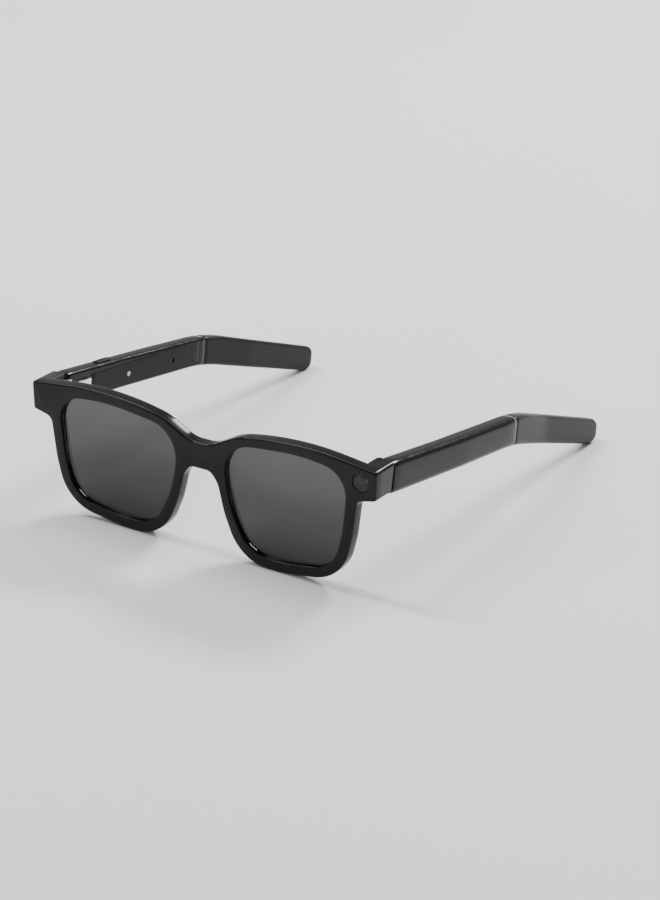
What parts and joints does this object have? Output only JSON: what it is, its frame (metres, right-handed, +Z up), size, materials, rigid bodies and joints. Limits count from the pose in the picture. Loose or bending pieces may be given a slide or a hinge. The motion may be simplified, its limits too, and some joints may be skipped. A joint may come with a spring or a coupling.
{
  "type": "smart glasses",
  "caption": "Dark thick-rimmed smart glasses with smoke lenses, a corner camera, folding temples that hold the electronics, a press button and a power slider.",
  "frame": {"origin": "bottom centre of the overall box with the temples open: on the surface that the rims and the temple tips stand on, midway between the ends", "axes": "+X to the wearer's left, +Y back along the temples (the front faces -Y), +Z up"},
  "size_m": [0.147, 0.1625, 0.0502],
  "materials": {
    "frame_black": "polished, with soft edges",
    "inner_black": "fine satin",
    "smoke_lens": "polished dark smoke tint",
    "window_black": "polished dark window",
    "barrel_black": "matt",
    "camera_glass": "coated",
    "circuit_green": "solder mask",
    "light_white": "diffuser",
    "flex_amber": "polyimide film",
    "contact_gold": "gold plated",
    "microphone_can": "satin",
    "hinge_chrome": "polished",
    "screw_steel": "machined",
    "tip_black": "satin",
    "battery_foil": "laminated foil",
    "mesh_grey": "woven mesh",
    "speaker_black": "moulded",
    "control_black": "satin",
    "switch_steel": "stamped"
  },
  "bodies": {
    "front": {"front_frame": "frame_black", "brow_cover": "inner_black", "lens_left": "smoke_lens", "lens_right": "smoke_lens", "camera_window": "window_black", "camera_barrel": "barrel_black", "camera_lens": "camera_glass", "camera_sensor": "circuit_green", "capture_light": "light_white", "front_flex": "flex_amber", "charge_contacts": "contact_gold", "charge_board": "circuit_green", "bridge_microphone": "microphone_can", "hinge_leaf_front_left": "hinge_chrome", "hinge_leaf_front_right": "hinge_chrome", "hinge_pin_left": "hinge_chrome", "hinge_pin_right": "hinge_chrome", "front_hinge_screws": "screw_steel"},
    "left_temple": {"temple_shell_left": "frame_black", "temple_cover_left": "inner_black", "temple_tip_left": "tip_black", "core_wire_left": "screw_steel", "hinge_leaf_temple_left": "hinge_chrome", "temple_hinge_screws_left": "screw_steel", "cover_screws_left": "screw_steel", "temple_board_left": "circuit_green", "battery_left": "battery_foil", "speaker_left": "speaker_black", "speaker_mesh_left": "mesh_grey", "temple_microphone_left": "microphone_can", "slide_switch": "switch_steel"},
    "right_temple": {"temple_shell_right": "frame_black", "temple_cover_right": "inner_black", "temple_tip_right": "tip_black", "core_wire_right": "screw_steel", "hinge_leaf_temple_right": "hinge_chrome", "temple_hinge_screws_right": "screw_steel", "cover_screws_right": "screw_steel", "temple_board_right": "circuit_green", "battery_right": "battery_foil", "speaker_right": "speaker_black", "speaker_mesh_right": "mesh_grey", "temple_microphone_right": "microphone_can", "touch_sensor": "flex_amber", "button_switch": "switch_steel"},
    "capture_button": {"capture_button": "control_black"},
    "power_slider": {"power_slider": "control_black"}
  },
  "joints": [
    {"name": "left_temple_fold", "type": "hinge", "parent": "front", "child": "left_temple", "pos_m": [0.0661, -0.07023, 0.04], "axis": [0, 0.1305, 0.9914], "range_deg": [0, 90]},
    {"name": "right_temple_fold", "type": "hinge", "parent": "front", "child": "right_temple", "pos_m": [-0.0661, -0.07023, 0.04], "axis": [0, -0.1305, -0.9914], "range_deg": [0, 77]},
    {"name": "capture_button_press", "type": "slide", "parent": "right_temple", "child": "capture_button", "axis": [0, -0.1305, -0.9914], "range_m": [0, 0.00035], "stiffness_N_per_m": 800, "springref_m": -0.0015},
    {"name": "power_slider_slide", "type": "slide", "parent": "left_temple", "child": "power_slider", "axis": [0, 0.9914, -0.1305], "range_m": [0, 0.002]}
  ]
}
